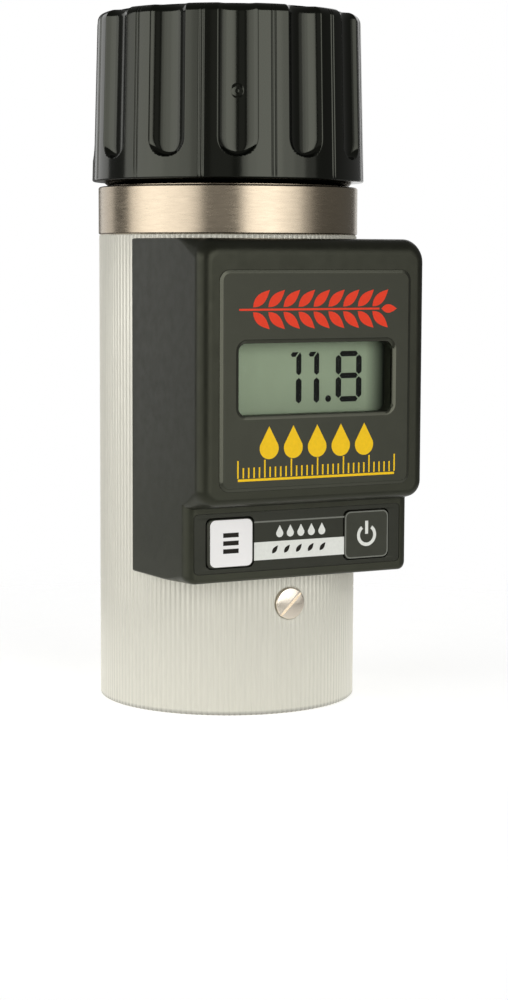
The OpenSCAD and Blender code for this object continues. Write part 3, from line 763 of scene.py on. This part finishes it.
def segment(x0, z0, x1, z1, width):
    """A display segment from one point to another, pointed at both ends."""
    along = Vector((x1 - x0, z1 - z0))
    tip = along.normalized() * (width * 0.42)
    side = Vector((-tip.y, tip.x)).normalized() * (width / 2)
    a, b = Vector((x0, z0)), Vector((x1, z1))
    return [tuple(p) for p in (a, a + tip + side, b - tip + side,
                               b, b - tip - side, a + tip - side)]


def digits():
    low, high, middle, width = 81.1, 94.0, 87.75, 1.62
    bar_w = 1.38
    left, right = 9.2, 15.25
    shapes = [circle(6.2, 82.0, 0.85)]
    for z in (low + bar_w / 2, middle, high - bar_w / 2):
        shapes.append(segment(left + 0.3, z, right - 0.3, z, bar_w))
    for x in (left, right):
        shapes.append(segment(x, low + 0.95, x, middle - 0.25, width))
        shapes.append(segment(x, middle + 0.25, x, high - 0.95, width))
    for x in (-2.45, 2.75):
        shapes.append(segment(x, low - 0.1, x, middle - 0.3, width))
        for outline in (((-0.73, 88.7), (0, 88.1), (0.73, 88.7), (0.73, 93.2), (0.35, 93.9),
                         (-0.73, 92.55)),
                        ((-2.35, 93.3), (-1.8, 93.95), (-0.1, 93.95), (-1.0, 92.75),
                         (-1.95, 92.75))):
            shapes.append([(x + dx, z) for dx, z in outline])
    printed("lcd_digits", shapes, LCD_FRONT, "body", "segment", 0.03)


# ---------- cap ----------

FLUTES, FLUTE_PHASE = 12, 5.7
FLUTE_PITCH = 360 / FLUTES
FLUTE_W, FLUTE_DEPTH = 10.4, 2.65
GROOVE_R, GROOVE_OFFSET, GROOVE_HALF_WIDTH = 35.5, 0.48, 0.30
FLUTE_MID_Z = SKIRT_Z + 5.5 + FLUTE_W / 2
CAP_SLOPE = (CAP_R - CAP_TOP_R) / (CAP_TOP - SKIRT_Z)


def flute_depth(delta, z):
    """Depth of a flute, delta degrees from its middle: an elliptical section with a steep,
    round end and a softened lip."""
    across = radians(delta) * (CAP_R - 1.2) / (FLUTE_W / 2)
    away = hypot(across, min(0.0, z - FLUTE_MID_Z) / (FLUTE_W / 2))
    if away >= 1:
        return 0.0
    depth = FLUTE_DEPTH * (1 - abs(across) ** 2.1) ** 0.72 * (1 - away ** 12) ** 0.7
    return depth * depth / (depth + 0.6)


def rib_depth(delta):
    """Depth of the two fine grooves midway between flutes."""
    away = (FLUTE_PITCH / 2 - abs(delta)) * radians(1) * GROOVE_R
    depth = 0.0
    for centre in (-GROOVE_OFFSET, GROOVE_OFFSET):
        x = abs(away - centre) / GROOVE_HALF_WIDTH
        if x < 1:
            depth += 0.17 * (0.5 + 0.5 * cos(pi * x))
    return depth


def cap():
    # columns across half a flute, over the ridge beside it, and across the grooves
    half = [d * FLUTE_W / 9.9 for d in (
        0.35, 1.0, 1.7, 2.4, 3.1, 3.8, 4.4, 5.0, 5.5, 6.0, 6.4, 6.7, 6.95, 7.15, 7.35, 7.5,
        7.65, 7.8, 7.9, 8.0, 8.1, 8.25, 8.5)]
    half += [9.4, 10.2, 10.9, 11.8, 12.7, 13.3, 13.6]
    half += [FLUTE_PITCH / 2 - d / GROOVE_R / radians(1)
             for d in (0.78, 0.70, 0.62, 0.55, 0.48, 0.41, 0.34, 0.26, 0.18, 0.08)]
    sector = [-d for d in reversed(half)] + half
    columns = [(FLUTE_PHASE + FLUTE_PITCH * i + d, d) for i in range(FLUTES) for d in sector]
    edge = 2.5
    top_r = CAP_R - CAP_SLOPE * (CAP_TOP - edge - SKIRT_Z)

    def outside(r, z, rib):
        return [place(phi, r - flute_depth(d, z) - rib * rib_depth(d), z) for phi, d in columns]

    def inside(r, z):
        return [place(phi, r, z) for phi, _ in columns]

    lower = [(CAP_BORE + 0.25, CAP_BOTTOM), (32.0, CAP_BOTTOM), (33.2, SKIRT_Z - 0.1),
             (33.3, SKIRT_Z), (CAP_R - 0.6, SKIRT_Z)]
    rings = [inside(r, z) for r, z in lower]
    rings += [outside(CAP_R - 0.5 + 0.5 * sin(a), SKIRT_Z + 0.5 - 0.5 * cos(a), 0.2)
              for a in map(radians, (20, 45, 70, 90))]
    heights = [SKIRT_Z + h for h in (1.2, 3.5)]
    heights += [SKIRT_Z + 5.0 + 0.2 * k for k in range(31)]
    heights += [SKIRT_Z + h for h in (12.0, 14.0, 20.0, 26.0, 32.0, 37.0, 40.0)]
    rings += [outside(CAP_R - CAP_SLOPE * (z - SKIRT_Z), z, 1.0) for z in heights]
    rings += [outside(top_r - edge + edge * cos(radians(a)),
                      CAP_TOP - edge + edge * sin(radians(a)), 1.0 if a < 50 else 0.0)
              for a in range(0, 91, 6)]
    roof, hub_r, hub_bottom, well_floor = CAP_TOP - 3, 8.5, CAP_TOP - 21, CAP_TOP - 7.9
    inner = [(31.3, CAP_TOP), (20, CAP_TOP), (7.6, CAP_TOP), (7.25, CAP_TOP - 0.1),
             (7.05, CAP_TOP - 0.35), (7, CAP_TOP - 0.7), (7, well_floor + 0.3),
             (6.7, well_floor), (4.62, well_floor), (4.62, hub_bottom),
             (hub_r - 0.4, hub_bottom), (hub_r, hub_bottom + 0.4), (hub_r, roof - 1),
             (hub_r + 0.3, roof - 0.3), (hub_r + 1, roof), (30.4, roof), (31.5, roof - 0.4),
             (31.9, roof - 1.5), (31.9, COLLAR_TOP + 2.6), (CAP_BORE, COLLAR_TOP + 2),
             (CAP_BORE, CAP_BOTTOM + 0.3)]
    rings += [inside(r, z) for r, z in inner]
    obj = raw("cap", skin(rings, closed=True))
    gate = gate_mark()
    bm = bmesh.new()
    for part in (obj, gate):
        bm.from_mesh(part.data)
    bpy.data.objects.remove(gate)
    bm.to_mesh(obj.data)
    bm.free()
    finish_piece(obj, "cap_fluted", "cap", "cap", ["cap_shell"], 40)


def gate_mark():
    """The ring and nub that moulding leaves in one flute."""
    profile = [(0, 0.38), (0.45, 0.34), (0.6, 0.02), (1.0, -0.02), (1.25, 0.1), (1.6, 0.24),
               (1.95, 0.1), (2.1, -0.2), (0, -0.2)]
    bm = revolve(profile, 32)
    z = 159.0
    r = CAP_R - CAP_SLOPE * (z - SKIRT_Z) - flute_depth(0, z) - 0.08
    spot = (Matrix.Rotation(radians(FLUTE_PHASE - FLUTE_PITCH), 4, "Z")
            @ Matrix.Translation((0, -r * MM, z * MM)) @ Matrix.Rotation(pi / 2, 4, "X"))
    bmesh.ops.transform(bm, matrix=spot, verts=bm.verts)
    return raw("gate", bm)


def spring():
    """Compression spring with closed ends between the plate and the washer."""
    low, high = (corners("plunger_spring")[i].z for i in (0, 1))
    r, wire, turns, per_turn = 11.6, 0.7, 7.5, 40
    count = int(turns * per_turn)
    steps = [turns * k / count for k in range(count + 1)]
    # the pitch is small in the first and last turn, and even between
    pitches = [0.22 + 0.78 * min(1.0, max(0.0, min(t, turns - t) - 0.6) / 0.6) for t in steps]
    rise = (high - low - 2 * wire) / sum(pitches[1:])
    z, path = low + wire, []
    for t, pitch in zip(steps, pitches):
        path.append((360 * t, z))
        z += pitch * rise
    sides = 14
    around = [2 * pi * s / sides for s in range(sides)]
    obj = raw("spring", skin([[place(phi, r + wire * cos(a), z + wire * sin(a)) for a in around]
                              for phi, z in path], caps=True))
    finish_piece(obj, "spring_coil", "spring_carrier", "spring",
                 ["plunger_spring"], 60)
    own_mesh(obj)


# ---------- CAD nodes that stay ----------

KEPT = {
    "cell_cup": "cell", "cell_base": "cell", "cell_floor": "insulator", "centre_electrode": "brass",
    "electrode_insulator": "insulator", "electrode_nut": "steel", "temperature_sensor": "chip",
    "electrode_lead": "wire_blue", "housing_screws": "steel", "display_window": "window",
    "lcd_panel": "lcd", "lcd_holder": "inner", "contact_strips": "contact", "main_board": "board",
    "board_components": "chip", "tact_switches": "chip", "function_stem": "inner",
    "power_stem": "inner",
    "base_plug": "base", "battery": "battery", "battery_snap": "snap", "battery_leads": "wire_red",
    "battery_cradle": "inner", "battery_cap": "base", "battery_cap_seal": "rubber",
    "plunger_bush": "bush", "thrust_washer": "steel", "indicator_pin": "steel",
    "retaining_clip": "spring", "pressure_plate": "steel", "plate_screw": "steel",
}
UNBEVELLED = {"electrode_lead", "battery_leads", "battery_cap_seal", "display_window",
              "retaining_clip"}


def dress(node, material):
    """Gives a CAD node its material, and rounds its edges without touching its mesh."""
    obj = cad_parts[node]
    for slot in obj.material_slots:
        slot.material = MATERIALS[material]
    weld = obj.modifiers.new("weld", "WELD")
    weld.merge_threshold = 1e-6
    if node not in UNBEVELLED:
        bevel = obj.modifiers.new("edges", "BEVEL")
        bevel.width, bevel.segments = 0.15 * MM, 2
        bevel.limit_method, bevel.angle_limit = "ANGLE", radians(35)
    normals = obj.modifiers.new("normals", "WEIGHTED_NORMAL")
    normals.keep_sharp = True


# ---------- camera, lights and floor ----------

CAMERA_AZIMUTH = radians(-28.861)


def add_camera():
    elevation, roll, distance = radians(6.304), radians(0.228), 0.602178
    back = Vector((sin(CAMERA_AZIMUTH) * cos(elevation), -cos(CAMERA_AZIMUTH) * cos(elevation),
                   sin(elevation)))
    right = Vector((cos(CAMERA_AZIMUTH), sin(CAMERA_AZIMUTH), 0))
    up = back.cross(right)
    target = Vector((0, 0, 0.052239)) + right * 0.007232
    turned = Matrix((right * cos(roll) + up * sin(roll), up * cos(roll) - right * sin(roll),
                     back)).transposed()
    data = bpy.data.cameras.new("camera")
    data.lens, data.sensor_width = 80.11, 36.0
    data.clip_start, data.clip_end = 0.01, 20.0
    camera = bpy.data.objects.new("camera", data)
    bpy.context.scene.collection.objects.link(camera)
    camera.matrix_world = Matrix.Translation(target + back * distance) @ turned.to_4x4()
    bpy.context.scene.camera = camera


def softbox(name, bearing, width, low, high, radiance, distance):
    """An upright area light; bearing is in degrees from the camera's side of the object towards
    the right, and low, high and distance are in metres."""
    azimuth = CAMERA_AZIMUTH + radians(bearing)
    towards = Vector((sin(azimuth), -cos(azimuth), 0))
    data = bpy.data.lights.new(name, "AREA")
    data.shape = "RECTANGLE"
    data.size, data.size_y = width, high - low
    data.energy = radiance * pi * width * (high - low)
    lamp = bpy.data.objects.new(name, data)
    bpy.context.scene.collection.objects.link(lamp)
    sideways = Vector((0, 0, 1)).cross(towards)
    lamp.matrix_world = (Matrix.Translation(towards * distance + Vector((0, 0, (low + high) / 2)))
                         @ Matrix((sideways, (0, 0, 1), towards)).transposed().to_4x4())
    lamp.visible_camera = False


# Bearing of each lit strip's two edges, and its radiance
STRIPS = (
    (-94, -82, 1.8), (-82, -70, 2.55), (-70, -54, 2.7), (-54, -40, 2.35), (-40, -30, 2.15),
    (-30, -22, 1.5), (12, 16.5, 1.9), (16.5, 24, 2.7), (24, 46, 2.95), (46, 57, 2.25),
    (57, 67, 1.7), (67, 78, 0.5), (-152, -118, 1.0), (152, 176, 0.8), (-14, 4, 0.2),
)
STRIP_DISTANCE, STRIP_LOW, STRIP_HIGH = 0.85, -0.05, 0.62


def add_lights():
    for index, (start, end, radiance) in enumerate(STRIPS):
        width = 2 * STRIP_DISTANCE * tan(radians(end - start) / 2)
        softbox(f"strip_{index}", (start + end) / 2, width, STRIP_LOW, STRIP_HIGH, radiance,
                STRIP_DISTANCE)
    world = bpy.data.worlds.new("studio")
    bpy.context.scene.world = world
    world.use_nodes = True
    tree = world.node_tree
    tree.nodes.clear()
    seen = tree.nodes.new("ShaderNodeBackground")
    seen.inputs["Color"].default_value = (1, 1, 1, 1)
    lighting = tree.nodes.new("ShaderNodeBackground")
    lighting.inputs["Color"].default_value = (0.16, 0.16, 0.155, 1)
    path = tree.nodes.new("ShaderNodeLightPath")
    mix = tree.nodes.new("ShaderNodeMixShader")
    output = tree.nodes.new("ShaderNodeOutputWorld")
    tree.links.new(path.outputs["Is Camera Ray"], mix.inputs["Fac"])
    tree.links.new(lighting.outputs["Background"], mix.inputs[1])
    tree.links.new(seen.outputs["Background"], mix.inputs[2])
    tree.links.new(mix.outputs["Shader"], output.inputs["Surface"])
    bpy.context.scene.view_settings.view_transform = "Standard"


def add_floor():
    """A pale disc that fades into the backdrop."""
    steps, radius = 96, 1.6
    bm = bmesh.new()
    bm.faces.new([bm.verts.new((x, y, -0.0001)) for x, y in circle(0, 0, radius, steps)])
    floor = raw("floor", bm)
    paint = Paint("floor_pale", (0.86, 0.86, 0.85), 0.7).tone(60, 0.004)
    paint.shader.inputs["Emission Color"].default_value = (1, 1, 1, 1)
    paint.shader.inputs["Emission Strength"].default_value = 0.62
    away = paint.node("VectorMath", {"Vector": paint.coords}, operation="LENGTH").outputs["Value"]
    fade = paint.ramp(away, 1.0, 0.0, 0.05, 0.26)
    paint.tree.links.new(fade, paint.shader.inputs["Alpha"])
    floor.data.materials.append(paint.mat)


# ---------- the model ----------

add_camera()
add_lights()
add_floor()
tube()
collar()
thread("neck_thread", NECK_R, NECK_R + 0.45, BAND_TOP + 1.4, COLLAR_TOP - 0.8, 0,
       "body", "collar")
thread("cap_thread", CAP_BORE, CAP_BORE - 0.45, BAND_TOP + 1.4, COLLAR_TOP + 1.0, 90,
       "cap", "cap")
base_screws()
housing()
label()
label_prints()
keypad()
keys()
digits()
cap()
spring()
for kept, finish in KEPT.items():
    dress(kept, finish)
